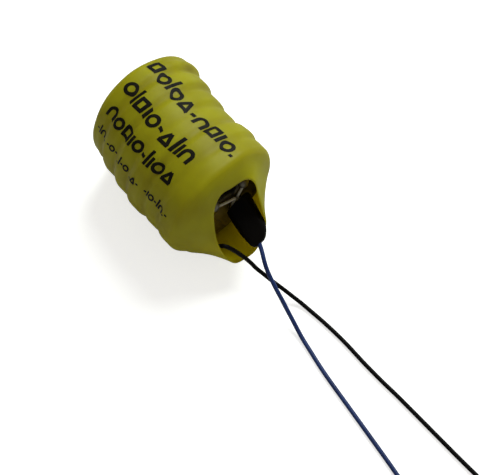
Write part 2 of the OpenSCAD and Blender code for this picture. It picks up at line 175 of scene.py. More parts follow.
def make_curve(name, routes, diameter, slot, *nodes):
    """A piece of one or more round wires, each along its own route in the pack's millimetres."""
    data = bpy.data.curves.new(name, "CURVE")
    data.dimensions = "3D"
    for points in routes:
        spline = data.splines.new("NURBS")
        spline.points.add(len(points) - 1)
        for q, p in zip(spline.points, points):
            q.co = (*row(p), 1)
        spline.order_u = 4
        spline.use_endpoint_u = True
        spline.resolution_u = 6
    data.bevel_depth = diameter / 2000
    data.bevel_resolution = 4
    data.use_fill_caps = True
    return add_piece(name, data, slot, *nodes)


def make_mesh(name, verts, faces, slot, *nodes):
    """A smooth mesh from places in the pack's millimetres."""
    mesh = bpy.data.meshes.new(name)
    mesh.from_pydata([row(v) for v in verts], [], faces)
    mesh.validate()
    for poly in mesh.polygons:
        poly.use_smooth = True
    return add_piece(name, mesh, slot, *nodes)


def shell_faces(rows, columns):
    """Faces of a tube with a wall: its outside rows come first, then its inside rows."""
    def at(j, k, layer):
        return (layer * rows + j) * columns + k % columns

    faces = []
    last = rows - 1
    for k in range(columns):
        for j in range(last):
            faces.append((at(j, k, 0), at(j, k + 1, 0), at(j + 1, k + 1, 0), at(j + 1, k, 0)))
            faces.append((at(j, k, 1), at(j + 1, k, 1), at(j + 1, k + 1, 1), at(j, k + 1, 1)))
        faces.append((at(0, k, 0), at(0, k, 1), at(0, k + 1, 1), at(0, k + 1, 0)))
        faces.append((at(last, k, 0), at(last, k + 1, 0), at(last, k + 1, 1), at(last, k, 1)))
    return faces


def add_bevel(obj, width):
    """Rounds a piece's sharp edges; width is in millimetres."""
    bevel = obj.modifiers.new("edges", "BEVEL")
    bevel.width = width / 1000
    bevel.segments = 2
    bevel.limit_method = "ANGLE"
    bevel.angle_limit = math.radians(50)


# ---------------------------------------------------------------- materials
class Nodes:
    """A short way to write a material's node tree."""

    def __init__(self, name):
        self.material = bpy.data.materials.new(name)
        self.material.use_nodes = True
        self.tree = self.material.node_tree
        self.shader = self.tree.nodes["Principled BSDF"]

    def add(self, kind, **values):
        """A new node; each value goes to its setting or its input of that name."""
        node = self.tree.nodes.new(kind)
        for key, value in values.items():
            if hasattr(node, key):
                setattr(node, key, value)
            else:
                node.inputs[key.replace("_", " ")].default_value = value
        return node

    def link(self, a, b):
        self.tree.links.new(a, b)

    def set(self, **values):
        """Values for the shader's own inputs."""
        for key, value in values.items():
            self.shader.inputs[key.replace("_", " ")].default_value = value

    def noise(self, scale, detail=3.0, roughness=0.5):
        """Noise over the object's own coordinates, in metres."""
        coords = self.add("ShaderNodeTexCoord")
        node = self.add("ShaderNodeTexNoise", Scale=scale, Detail=detail, Roughness=roughness)
        self.link(coords.outputs["Object"], node.inputs["Vector"])
        return node.outputs["Fac"]

    def ramp(self, source, low, high, low_color, high_color):
        """A colour that changes as the source goes from low to high."""
        node = self.add("ShaderNodeValToRGB")
        node.color_ramp.elements[0].position = low
        node.color_ramp.elements[0].color = low_color
        node.color_ramp.elements[1].position = high
        node.color_ramp.elements[1].color = high_color
        self.link(source, node.inputs["Fac"])
        return node.outputs["Color"]

    def mix(self, fac, a, b):
        """A colour between two, each of them a socket or a plain value."""
        node = self.add("ShaderNodeMixRGB")
        for value, key in ((fac, "Fac"), (a, "Color1"), (b, "Color2")):
            if hasattr(value, "is_output"):
                self.link(value, node.inputs[key])
            else:
                node.inputs[key].default_value = value
        return node.outputs["Color"]

    def value_range(self, source, low, high):
        """A value from 0 to 1 spread over another range."""
        node = self.add("ShaderNodeMapRange", To_Min=low, To_Max=high)
        self.link(source, node.inputs["Value"])
        return node.outputs["Result"]

    def bump(self, height, strength, distance):
        """Relief too fine for the mesh; distance is in metres."""
        node = self.add("ShaderNodeBump", Strength=strength, Distance=distance)
        self.link(height, node.inputs["Height"])
        self.link(node.outputs["Normal"], self.shader.inputs["Normal"])


def srgb(r, g, b):
    """A colour as seen, from 0 to 255, as the shader's linear values."""
    def linear(c):
        c = c / 255
        return c / 12.92 if c < 0.04045 else ((c + 0.055) / 1.055) ** 2.4
    return (linear(r), linear(g), linear(b), 1)


def film_material():
    """Shrunk yellow film, faintly mottled, with a soft gloss; it is painted a darker olive as painted shade
    in the valleys between the cells, and in faint patches of uneven tone.
    """
    m = Nodes("sleeve_film")
    painted_shade_and_patches = m.add("ShaderNodeAttribute", attribute_name="painted_shade_and_patches").outputs["Fac"]
    mottle = m.ramp(m.noise(260, 4), 0.35, 0.65, srgb(166, 163, 8), srgb(181, 181, 14))
    # The olive is painted shade for the valleys between the cells, and it also gives the faint patches
    # their uneven tone
    color = m.mix(m.value_range(painted_shade_and_patches, 0, 0.8), mottle, srgb(134, 118, 2))
    m.link(color, m.shader.inputs["Base Color"])
    m.link(m.value_range(m.noise(420, 3), 0.42, 0.56), m.shader.inputs["Roughness"])
    m.set(Specular_IOR_Level=0.3)
    m.bump(m.noise(900, 4), 0.25, 0.00004)
    glow = m.add("ShaderNodeBsdfTranslucent")
    glow.inputs["Color"].default_value = srgb(250, 230, 60)
    blend = m.add("ShaderNodeMixShader", Fac=0.4)
    m.link(m.shader.outputs["BSDF"], blend.inputs[1])
    m.link(glow.outputs["BSDF"], blend.inputs[2])
    m.link(blend.outputs["Shader"], m.tree.nodes["Material Output"].inputs["Surface"])
    return m.material


def ink_material():
    """Dull black ink that the film shows through in places."""
    m = Nodes("print_ink")
    color = m.ramp(m.noise(1500, 3), 0.4, 0.8, srgb(8, 6, 3), srgb(28, 24, 6))
    m.link(color, m.shader.inputs["Base Color"])
    m.link(m.value_range(m.noise(1100), 0.5, 0.7), m.shader.inputs["Roughness"])
    m.set(Specular_IOR_Level=0.12)
    return m.material


def steel_material(name, light, dark, rough, metal=1.0, mouth_painted_shade=None):
    """Drawn metal. A dark colour may be given for painted shade, laid across the face seen in the mouth and
    growing thicker towards one side, where the metal's shine is taken away too.
    """
    m = Nodes(name)
    coords = m.add("ShaderNodeTexCoord")
    scratch = m.add("ShaderNodeMapping")
    scratch.inputs["Scale"].default_value = (400, 4000, 400)
    m.link(coords.outputs["Object"], scratch.inputs["Vector"])
    lines = m.add("ShaderNodeTexNoise", Scale=1.0, Detail=4.0)
    m.link(scratch.outputs["Vector"], lines.inputs["Vector"])
    color = m.ramp(m.noise(300), 0.3, 0.7, dark, light)
    if mouth_painted_shade:
        # Painted shade: darker towards one side across the last can's face, where the mouth lies in shadow,
        # with the metal's shine taken away
        across = m.add("ShaderNodeVectorMath", operation="DOT_PRODUCT")
        across.inputs[1].default_value = (0, cosd(MOUTH_TURN), sind(MOUTH_TURN))
        m.link(coords.outputs["Object"], across.inputs[0])
        middle = ((SHIFT[-1] - MID_Y) * cosd(MOUTH_TURN) + AXIS_Z * sind(MOUTH_TURN)) / 1000
        starts, full = middle - 0.0035, middle + 0.0005
        shade_share = m.add("ShaderNodeMapRange", From_Min=starts, From_Max=full)
        m.link(across.outputs["Value"], shade_share.inputs["Value"])
        color = m.mix(shade_share.outputs["Result"], color, mouth_painted_shade)
        m.link(m.value_range(shade_share.outputs["Result"], 1, 0), m.shader.inputs["Metallic"])
        m.set(Specular_IOR_Level=0.05)
    m.link(color, m.shader.inputs["Base Color"])
    m.link(m.value_range(lines.outputs["Fac"], rough, rough + 0.15), m.shader.inputs["Roughness"])
    m.set(Metallic=metal)
    m.bump(lines.outputs["Fac"], 0.15, 0.00002)
    return m.material


def plastic_material(name, light, dark, rough, grain=900, depth=0.00002, shine=0.5):
    """Moulded or drawn plastic, with a fine grain that is depth metres deep."""
    m = Nodes(name)
    m.set(Specular_IOR_Level=shine)
    m.link(m.ramp(m.noise(grain / 2), 0.3, 0.7, dark, light), m.shader.inputs["Base Color"])
    m.link(m.value_range(m.noise(grain), rough, rough + 0.12), m.shader.inputs["Roughness"])
    m.bump(m.noise(grain, 4), 0.3, depth)
    return m.material


def solder_material():
    """Solder as it set, dull and uneven."""
    m = Nodes("solder_metal")
    color = m.ramp(m.noise(700), 0.35, 0.65, srgb(104, 100, 90), srgb(138, 134, 122))
    m.link(color, m.shader.inputs["Base Color"])
    m.link(m.value_range(m.noise(1200), 0.36, 0.55), m.shader.inputs["Roughness"])
    m.set(Metallic=1.0)
    m.bump(m.noise(900), 0.4, 0.00003)
    return m.material


# The look of each material slot
LOOKS = {
    "sleeve_pvc": film_material(),
    "print_ink": ink_material(),
    # The cans' steel, with painted shade across the last can's face in the mouth
    "can_steel": steel_material(
        "can_steel", srgb(190, 172, 120), srgb(165, 148, 100), 0.12, mouth_painted_shade=srgb(36, 27, 16),
    ),
    "cap_steel": steel_material("cap_steel", srgb(186, 184, 180), srgb(156, 154, 150), 0.22),
    "tab_nickel": steel_material("tab_nickel", srgb(118, 112, 98), srgb(88, 82, 70), 0.16),
    "tinned_copper": steel_material(
        "tinned_wire", srgb(214, 210, 196), srgb(176, 172, 158), 0.34, metal=0.55,
    ),
    "solder": solder_material(),
    "gasket": plastic_material("seal_plastic", srgb(36, 36, 38), srgb(24, 24, 26), 0.5),
    "black_insulation": plastic_material(
        "black_insulation", srgb(7, 5, 6), srgb(3, 2, 3), 0.42, shine=0.08,
    ),
    "blue_insulation": plastic_material(
        "blue_insulation", srgb(29, 52, 108), srgb(21, 38, 86), 0.36, shine=0.25,
    ),
    "joint_sleeve_black": plastic_material(
        "joint_sleeve_black", srgb(7, 4, 2), srgb(3, 2, 1), 0.5, grain=700, depth=0.00005, shine=0.07,
    ),
    "resistor_lacquer": plastic_material(
        "resistor_lacquer", srgb(110, 140, 165), srgb(92, 122, 150), 0.3,
    ),
    "diode_glass": plastic_material("diode_glass", srgb(176, 92, 52), srgb(150, 70, 36), 0.15),
    "tie_white": plastic_material("tie_white", srgb(232, 230, 222), srgb(214, 212, 204), 0.5),
}


# ---------------------------------------------------------------- free wires
COIL_R = 5.6 * WIRE_D
COIL_H = 1.9 * WIRE_D
INNER_R = COIL_R - WIRE_D / 2
OUTER_R = COIL_R + WIRE_D / 2
# The wire's turns in degrees, and the steps in which they are laid
COIL_END = 1170
COIL_STEP = 15
# The straight stretches before and after the turns
STUB_IN = 3.6 * WIRE_D
STUB_OUT = 3.5
# The tie is a strip of tape: its thickness, its width, its corners and its place on the coil
TIE_T = 0.15
TIE_W = 1
TIE_ROUND = 0.2
TIE_EDGE = 0.04
TIE_AT = -135
LOW_Z = TIE_T + WIRE_D / 2
TOP_Z = LOW_Z + 0.87 * WIRE_D
# Where the wire changes rings, climbs on top of its first turns and comes down again: how far
# it has turned there, over how many more degrees it changes, and to what
RING_CHANGES = [(0, 90, INNER_R), (450, 60, OUTER_R), (640, 50, COIL_R), (1080, 50, OUTER_R)]
HEIGHT_CHANGES = [(640, 50, TOP_Z), (1120, 48, LOW_Z)]
# Bare core: its length, how far it reaches into the insulation, and the lay of its strands
TIP_L = 3
STRIP_IN = 0.3
STRAND_D = CORE_D / 3
STRAND_LAY = 2.6
STRAND_POINTS = 37

# Routes from the pack to the coils; the last number is the height of the wire's underside
BLACK_ROUTE = [
    (26.5, -2.4, 4.4), (27.1, -2.3, 4.1), (27.8, -2.2, 3.7), (28.7, -1.9, 3.25), (29.8, -1.6, 2.65),
    (30.9, -1.2, 2), (32, -0.8, 1.35), (33, -0.5, 0.8), (34, -0.2, 0.35), (35, 0, 0.1), (36, 0.1, 0),
    (38, 0.3, 0), (40, 0.4, 0), (42, 0.45, 0), (44, 0.4, 0), (46, 0.3, 0), (48, 0.3, 0), (50, 0.3, 0),
    (52, 0.4, 0), (55, 0.4, 0), (58, 0.4, 0), (61, 0.4, 0), (64, 0.4, 0), (66.5, 0.45, 0.05),
]
BLUE_ROUTE = [
    (26.6, -0.4, 6), (27.2, -0.7, 5.95), (27.9, -1.1, 5.75), (28.9, -1.6, 5.3), (30, -1.9, 4.6),
    (31.1, -2.1, 3.9), (32.2, -2.3, 3.2), (33.2, -2.4, 2.5), (34.2, -2.6, 1.8), (35.2, -2.75, 1.2),
    (36.2, -2.95, 0.7), (37.3, -3.2, 0.3), (38.6, -3.5, 0.05), (40.6, -3.9, 0), (42.6, -4.35, 0),
    (44.6, -4.7, 0), (46.6, -5, 0), (49, -5.35, 0), (52, -5.8, 0), (55, -6.25, 0), (58, -6.7, 0),
    (60.5, -7.15, 0.05),
]
# The black wire's way through the mouth, as mouth_at() measures it; it ends where it comes out
RUN_IN_MOUTH = [
    (1.7, -3.75, -5.6), (2.6, -2.5, -5.15), (3.4, -1, -4.5), (4, -0.25, -3.9),
    (4.6, -0.5, -3.5), (5.3, -1.4, -3.25), (6, -2.5, -3.05), (6.6, -3.25, -2.95),
]
# Each coil's middle, and how much it is turned
BLACK_COIL = (71.3, -3.2, 0)
BLUE_COIL = (64.75, -11.35, -5)
# The line through the small black sleeve, as mouth_at() measures it
JOINT_IN = (0.95, -1.5, 1.3)
JOINT_OUT = (6.8, -2.3, -0.2)
BLUE_IN_SLEEVE = 0.05


def along(reach, side=0.0):
    """A place on the line through the small black sleeve, or beside it."""
    s = (reach - JOINT_IN[0]) / (JOINT_OUT[0] - JOINT_IN[0])
    p = [lerp(a, b, s) for a, b in zip(JOINT_IN, JOINT_OUT)]
    return mouth_at(p[0], p[1], p[2] + side)


def after_changes(turned, value, changes):
    """A radius or a height of the wire's middle, by the angle it has turned since it came in."""
    for start, over, to in changes:
        value = lerp(value, to, ease((turned - start) / over))
    return value


def in_coil(coil, x, y, z):
    """A place in a coil's own frame, with the coil's middle at its origin."""
    cx, cy, turn = coil
    return Vector((cx + x * cosd(turn) - y * sind(turn), cy + x * sind(turn) + y * cosd(turn), z))


def wire_points(start, route, coil):
    """A lead from where it comes out of the pack to the end of its insulation."""
    points = [start]
    points += [Vector((x, y, z + WIRE_D / 2)) for x, y, z in route]
    points += [in_coil(coil, x, OUTER_R, LOW_Z) for x in (-STUB_IN, -STUB_IN / 2)]
    for turned in range(0, COIL_END + 1, COIL_STEP):
        a = 90 - turned
        r = after_changes(turned, OUTER_R, RING_CHANGES)
        z = after_changes(turned, LOW_Z, HEIGHT_CHANGES)
        points.append(in_coil(coil, r * cosd(a), r * sind(a), z))
    points += [in_coil(coil, OUTER_R, y, LOW_Z) for y in (-STUB_OUT / 2, -STUB_OUT)]
    return points


def tie_outline(off):
    """The tie's section: distances out from the middle of the coil's wires, and up."""
    r = TIE_ROUND + off
    out, high = WIRE_D + off - r, COIL_H / 2 + off - r
    corners = ((out, -high, -90), (out, high, 0), (-out, high, 90), (-out, -high, 180))
    return [
        (x + r * cosd(start + turn), z + r * sind(start + turn))
        for x, z, start in corners for turn in range(0, 91, 15)
    ]


def make_tie(name, coil, node):
    """A strip of white tape folded round the coil's wires."""
    edges = [(TIE_T, -TIE_W / 2), (TIE_T, TIE_W / 2), (0, TIE_W / 2), (0, -TIE_W / 2)]
    verts = []
    for off, side in edges:
        for out, high in tie_outline(off):
            r = COIL_R + out
            x = r * cosd(TIE_AT) - side * sind(TIE_AT)
            y = r * sind(TIE_AT) + side * cosd(TIE_AT)
            verts.append(in_coil(coil, x, y, TIE_T + COIL_H / 2 + high))
    n = len(verts) // len(edges)
    faces = []
    for j in range(len(edges)):
        here, there = j * n, (j + 1) % len(edges) * n
        for k in range(n):
            m = (k + 1) % n
            faces.append((here + k, there + k, there + m, here + m))
    tie = make_mesh(name, verts, faces, "tie_white", node)
    add_bevel(tie, TIE_EDGE)
    return tie


def strand(coil, r, spin):
    """One strand of the bare core, at distance r from the core's middle."""
    points = []
    for k in range(STRAND_POINTS):
        s = lerp(-STRIP_IN, TIP_L, k / (STRAND_POINTS - 1))
        a = spin + 360 * s / STRAND_LAY
        points.append(in_coil(coil, OUTER_R + r * cosd(a), -STUB_OUT - s, LOW_Z + r * sind(a)))
    return points


def make_tip(name, coil, node):
    """The tinned core at the wire's free end: six strands laid round a seventh."""
    routes = [strand(coil, 0, 0)] + [strand(coil, STRAND_D, spin) for spin in range(0, 360, 60)]
    return make_curve(name, routes, STRAND_D, "tinned_copper", node)


def make_lead(color, start, route, coil):
    """A lead with its coil, its tie and its bare end."""
    tie = make_tie(f"{color}_wire_tie", coil, f"{color}_coil_tie")
    tip = make_tip(f"{color}_bare_end", coil, f"{color}_wire_tip")
    points = wire_points(start, route, coil)
    slot, nodes = f"{color}_insulation", (f"{color}_wire", f"{color}_coil")
    lead = make_curve(f"{color}_lead_wire", [points], WIRE_D, slot, *nodes)


make_lead("black", mouth_at(*RUN_IN_MOUTH[-1]), BLACK_ROUTE, BLACK_COIL)
make_lead("blue", along(JOINT_OUT[0] - BLUE_IN_SLEEVE), BLUE_ROUTE, BLUE_COIL)


# ---------------------------------------------------------------- wires and leads inside the pack
# The black wire along the cells, its bend round the first cell's edge, and its bare core
RUN_R = CELL_R + WIRE_D / 2 + PLAY
BEND_R = 1.1
CORE_X = -(TAB_T + CORE_D / 2 + PLAY)
CORE_FROM, CORE_TO = 2, 4.9
# Round the last cell's corner the black wire drops by this much for each reach
RUN_DROP = [(0.15, 0.35), (0.8, 1.1)]
# The resistor and the diode lie side by side in the small black sleeve
PARTS_X = 1.15
PARTS_GAP = 0.15
RESISTOR_D, RESISTOR_L = 1.5, 3.2
DIODE_D, DIODE_L = 1.4, 3
RESISTOR_SIDE = (DIODE_D + PARTS_GAP) / 2
DIODE_SIDE = -(RESISTOR_D + PARTS_GAP) / 2
# Where their leads lie on the last cell's tab, and beside the blue wire's core at the joint
LEAD_X = TAB_T + LEAD_D / 2 + PLAY
LEAD_SIDE = (CORE_D + LEAD_D) / 2 + PLAY
JOINT_X = 5
BLUE_STRIPPED_TO = 0.75


def on_run(x, r, shift):
    """A place on the side of the pack where the inner black wire lies."""
    return polar(x, r, RUN_ANGLE, shift)


def run_points():
    """The black wire from the closed end, along the cells and out through the mouth."""
    points = [on_run(CORE_X, CORE_TO, SHIFT[0])]
    for turn in range(0, 91, 15):
        x = CORE_X + BEND_R * (1 - cosd(turn))
        points.append(on_run(x, RUN_R - BEND_R * (1 - sind(turn)), SHIFT[0]))
    for i in range(CELLS - 1):
        x = i * PITCH
        points.append(on_run(x + CELL_T / 2, RUN_R, SHIFT[i]))
        points.append(on_run(x + CELL_T + TAB_T / 2, RUN_R, min(SHIFT[i], SHIFT[i + 1])))
    points.append(on_run(NEAR_X - CELL_T / 2, RUN_R, SHIFT[-1]))
    points.append(on_run(NEAR_X - 0.5, RUN_R, SHIFT[-1]))
    points += [on_run(NEAR_X + reach, RUN_R - drop, SHIFT[-1]) for reach, drop in RUN_DROP]
    return points + [mouth_at(*p) for p in RUN_IN_MOUTH]


def beside(side, s):
    """A place on the axis of the resistor or the diode, from its end by the cells."""
    way = (along(JOINT_OUT[0]) - along(JOINT_IN[0])).normalized()
    return along(PARTS_X, side) + s * way


def lead_points(side, feet):
    """A component's lead to the tab; its feet are places as mouth_at() measures them."""
    return [beside(side, 0), beside(side, -0.3)] + [mouth_at(*p) for p in feet]


def far_lead_points(side, length, bends):
    """A component's lead to the joint; each bend is (place past the joint, place beside it)."""
    points = [beside(side, length), beside(side, length + 0.15)]
    return points + [along(JOINT_X + x, across) for x, across in bends]


def make_inner_wires():
    """The wires and leads that lie inside the pack, each from its own places."""
    core = [on_run(CORE_X, r, SHIFT[0]) for r in (CORE_FROM, CORE_TO)]
    blue_core = [along(JOINT_X + x) for x in (-0.35, 0.2, BLUE_STRIPPED_TO)]
    blue_tail = [
        along(JOINT_X + BLUE_STRIPPED_TO), along(JOINT_X + 1.25), along(JOINT_OUT[0] - BLUE_IN_SLEEVE),
    ]
    resistor_in = lead_points(RESISTOR_SIDE, [
        (0.65, -1.4, 1.95), (0.5, -1.1, 2), (0.45, -0.8, 2.2), (LEAD_X, -0.3, 2.85),
        (LEAD_X, 0.3, 3.6), (LEAD_X, 0.75, 4.15),
    ])
    diode_in = lead_points(DIODE_SIDE, [
        (0.6, -1.15, 0.9), (0.6, -0.65, 1.6), (0.6, -0.35, 1.75), (0.55, -0.1, 1.4), (0.5, 0.3, 0.75),
        (LEAD_X, 1, -0.05), (LEAD_X, 2.15, -1.15),
    ])
    resistor_out = far_lead_points(RESISTOR_SIDE, RESISTOR_L, [
        (-0.45, 0.65), (-0.25, 0.45), (0, LEAD_SIDE), (0.3, LEAD_SIDE),
    ])
    diode_out = far_lead_points(DIODE_SIDE, DIODE_L, [
        (-0.5, -0.6), (-0.25, -0.43), (0, -LEAD_SIDE), (0.3, -LEAD_SIDE),
    ])
    for name, points, diameter, slot, node in (
        ("black_inner_wire", run_points(), WIRE_D, "black_insulation", "black_wire_run"),
        ("blue_inner_wire", blue_tail, WIRE_D, "blue_insulation", "blue_wire_tail"),
        ("black_inner_core", core, CORE_D, "tinned_copper", "black_wire_core"),
        ("blue_inner_core", blue_core, CORE_D, "tinned_copper", "blue_wire_core"),
        ("resistor_lead_near", resistor_in, LEAD_D, "tinned_copper", "resistor_lead_in"),
        ("resistor_lead_far", resistor_out, LEAD_D, "tinned_copper", "resistor_lead_out"),
        ("diode_lead_near", diode_in, LEAD_D, "tinned_copper", "diode_lead_in"),
        ("diode_lead_far", diode_out, LEAD_D, "tinned_copper", "diode_lead_out"),
    ):
        make_curve(name, [points], diameter, slot, node)


make_inner_wires()


# ---------------------------------------------------------------- outer sleeve
# Steps in the film's four stretches, from the hole to the mouth's rim, and columns round it
END_ROWS, WALL_ROWS, CORNER_ROWS, NECK_ROWS = 12, 96, 6, 24
COLUMNS = 144
# The rim of the mouth, as mouth_at() measures it, and a place inside it
MOUTH_RIM = [
    (1.25, 6.2, 0.6), (1.45, 5.8, 2.4), (1.65, 4.8, 4.5), (2.4, 3.6, 5.0),
    (3.4, 1.4, 4.15), (4.6, -0.5, 3.25), (5.4, -2.1, 2.5), (5.95, -3.6, 1.2),
    (6.65, -4.0, -1.2), (6.5, -3.8, -3.0), (6.15, -3.0, -4.45), (5.05, -1.2, -4.8),
    (4.25, 0.4, -4.5), (3.45, 1.9, -3.9), (2.65, 3.5, -2.9), (1.75, 5.2, -1.4),
]
RIM_MID = Vector((0, 1, -0.3))
FILM_EDGE = 0.08
# Between two cells the film sinks this deep, over this much to each side; round the pack the
# depth is this share of it on average, and wavers by this share
VALLEY_DEPTHS = [0.34, 0.3, 0.14, 0.26, 0.16]
VALLEY_HALF = 1.05
VALLEY_SHARE = 0.75
VALLEY_WAVE = 0.9
# The hole in the closed end, how wavy its edge is, and how far along the pack it lies
HOLE_R = 5.5
HOLE_WAVE = 0.25
HOLE_X = -0.3
# Over the first cell's edge the film is drawn to this share of its thickness, except round
# THICK_AT; its whole thickness is back after THICKEN of the pack's length
THIN = 0.3
THICK_AT, THICK_HALF, THICK_BLEND = 20, 10, 40
THICKEN = 1.4
# The wire under the film lifts it, over this many degrees to each side, and this far at the
# hole and at the first cell's edge
BUMP = WIRE_D + PLAY
BUMP_HALF = 17
HOLE_LIFT = 0.37
EDGE_LIFT = 0.7
# The film is pressed flat on the floor over this many degrees to each side. Beside them it
# goes back to its round, and then to lying as loose on the cells as elsewhere.
FLOOR_HALF = 8
FLOOR_BLEND = 6
SNUG_BLEND = 14
# Away from the wires the film stands off the last cells, fully past SWELL_TO_X; elsewhere it
# is only loose
SWELL = 0.3
SWELL_AT, SWELL_HALF, SWELL_BLEND = -58, 8, 45
SWELL_FROM_X, SWELL_TO_X = 12, 16
LOOSE = 0.05
# The cells' sideways steps show in the film over this much of its length
STEP_LENGTH = 1.2
# How much painted shade darkens the film for each millimetre of valley depth, and how dark the faint
# patches of uneven tone are
PAINTED_VALLEY_SHADE = 1.6
PATCH_SHADE = 0.35
# The neck: how steeply it leaves the last cell's corner and how much that tilts round it, how
# far the wire pushes it on, how much of the swell it takes in, its share of the wall at the
# rim, how straight it leaves, how far it is pinched in and where, and how deep its dents are
LEAVE = 46
LEAVE_TILT = 11
CORNER_PUSH = 0.4
CORNER_DRAW = 0.9
RIM_WALL = 0.8
NECK_PULL = 0.42
PINCH = 0.3
PINCH_AT = 108
DENT = 0.12


def rim(t):
    """The mouth's edge as a smooth closed curve through MOUTH_RIM, by the angle round it."""
    n = len(MOUTH_RIM)
    u = (t % 360) * n / 360
    i = int(u)
    a, b, c, d = (Vector(MOUTH_RIM[(i + k - 1) % n]) for k in range(4))
    f = u - i
    bend = 2 * a - 5 * b + 4 * c - d
    twist = 3 * b - a - 3 * c + d
    return 0.5 * (2 * b + (c - a) * f + bend * f * f + twist * f * f * f)


def ripple(x, a, size, seed):
    """Small unevenness of the film at a place on it."""
    p = Vector((x / size, 9 * cosd(a) / size, 9 * sind(a) / size + seed))
    return noise.noise(p)


def wire_bump(a):
    """How far the wire under the film lifts it."""
    return BUMP * (1 - ease(apart(a, RUN_ANGLE) / BUMP_HALF))


def on_floor(a):
    """1 where the film touches the floor, falling to 0 beside it."""
    return 1 - ease((apart(a, 180) - FLOOR_HALF) / SNUG_BLEND)


def sole(a):
    """How much longer the radius is where the film is pressed flat on the floor."""
    off = apart(a, 180)
    flat = AXIS_Z / cosd(min(off, FLOOR_HALF)) - AXIS_Z
    return flat * (1 - ease((off - FLOOR_HALF) / FLOOR_BLEND))


def swell(x, a):
    """How far the film stands off the last cells, on the side away from the wires."""
    by_x = ease((x - SWELL_FROM_X) / (SWELL_TO_X - SWELL_FROM_X))
    return SWELL * by_x * (1 - ease((apart(a, SWELL_AT) - SWELL_HALF) / SWELL_BLEND))


def joint_places():
    """Where two cells meet."""
    return [i * PITCH - TAB_T / 2 for i in range(1, CELLS)]


def valley(x, a):
    """How deep the film sinks between two cells; it is shallower in places round the pack."""
    depth = 0.0
    for i, place in enumerate(joint_places()):
        d = abs(x - place) / VALLEY_HALF
        if d < 1:
            wave = VALLEY_WAVE * noise.noise(Vector((2 * cosd(a), 2 * sind(a), 5.0 * i)))
            depth = max(depth, VALLEY_DEPTHS[i] * (VALLEY_SHARE + wave) * cosd(90 * d) ** 2)
    return max(depth, 0.0)


def past_edge(x):
    """0 at the first cell's edge, rising to 1 where the film has its own thickness."""
    return ease((x - CAP_EDGE_X - CRIMP_ROUND) / THICKEN)


def snug(off, x, a):
    """The film's thickness here, for a full thickness of off."""
    thick = 1 - ease((apart(a, THICK_AT) - THICK_HALF) / THICK_BLEND)
    return off * lerp(lerp(THIN, 1, thick), 1, past_edge(x))


def looseness(x, a):
    """How far the film stands off the cells here."""
    return LOOSE * past_edge(x) * (1 - on_floor(a)) * (1 + ripple(x, a, 2.6, 7.0))


def side_shift(x):
    """How far the film has slid sideways with the cells in it."""
    shift = SHIFT[0]
    for i, place in enumerate(joint_places()):
        shift = lerp(shift, SHIFT[i + 1], ease((x - place) / STEP_LENGTH + 0.5))
    return shift


def wall_point(x, a, off):
    """A place on the film round the cells; off is 0 on its inside and WALL on its outside."""
    loose = 1 - on_floor(a)
    r = CELL_R + GAP + lerp(off, snug(off, x, a), loose) + wire_bump(a) + sole(a) + swell(x, a)
    r -= valley(x, a) * loose * (1 - wire_bump(a) / BUMP)
    return polar(x, r + looseness(x, a), a, side_shift(x))


def end_point(s, a, off):
    """The film from the hole, where s is 0, over the first cell's end and round its corner."""
    round_r = CELL_R - CRIMP_ROUND
    round_x = CAP_EDGE_X + CRIMP_ROUND
    lift = wire_bump(a) / BUMP
    off = lerp(off, snug(off, 0, a), 1 - on_floor(a))
    hole_r = HOLE_R + HOLE_WAVE * noise.noise(Vector((cosd(a) * 1.5, sind(a) * 1.5, 4.0)))
    reach = CRIMP_ROUND + GAP + off
    edge = reach + EDGE_LIFT * lift
    if s < 0.5:
        f = s / 0.5
        x = lerp(HOLE_X - off - HOLE_LIFT * lift, round_x - edge, ease(f))
        return polar(x, lerp(hole_r, round_r, f), a, SHIFT[0])
    turn = (s - 0.5) / 0.5 * 90
    r = round_r + (reach + wire_bump(a) + sole(a)) * sind(turn)
    return polar(round_x - edge * cosd(turn), r, a, SHIFT[0])


def leave_angle(t):
    """How steeply the film leaves the last cell's corner, by the angle round the mouth."""
    return LEAVE + LEAVE_TILT * sind(t)


def corner_point(s, a, off):
    """The film round the last cell's corner; s goes from 0 to 1 where the neck starts."""
    turn = s * leave_angle(MOUTH_TURN - a)
    reach = CAN_ROUND + GAP + off
    x = NEAR_X - CAN_ROUND + reach * sind(turn) + CORNER_PUSH * s * wire_bump(a)
    r = CELL_R - CAN_ROUND + reach * cosd(turn) + wire_bump(a) + sole(a)
    r += swell(NEAR_X, a) * (1 - CORNER_DRAW * s)
    return polar(x, r + looseness(x, a), a, SHIFT[-1])


def neck_point(s, a, off):
    """The film from the last cell's corner to the mouth's rim."""
    t = MOUTH_TURN - a
    start = corner_point(1, a, off)
    turn = leave_angle(t)
    radial = Vector((0, -sind(a), cosd(a)))
    edge = rim(t)
    inward = Vector((0, RIM_MID.y - edge.y, RIM_MID.z - edge.z)).normalized()
    end = mouth_at(*(edge + inward * (WALL - off) * RIM_WALL))
    way = Vector((cosd(turn), 0, 0)) - radial * sind(turn)
    middle = start + NECK_PULL * (end - start).length * way
    p = start * (1 - s) ** 2 + middle * 2 * s * (1 - s) + end * s ** 2
    pinch = PINCH * max(0.0, cosd(a - PINCH_AT)) ** 3 * math.sin(math.pi * s ** 1.3)
    dent = DENT * 4 * s * (1 - s) * ripple(NEAR_X + 6 * s, a, 3.2, 11.0)
    return p + radial * (dent - pinch)


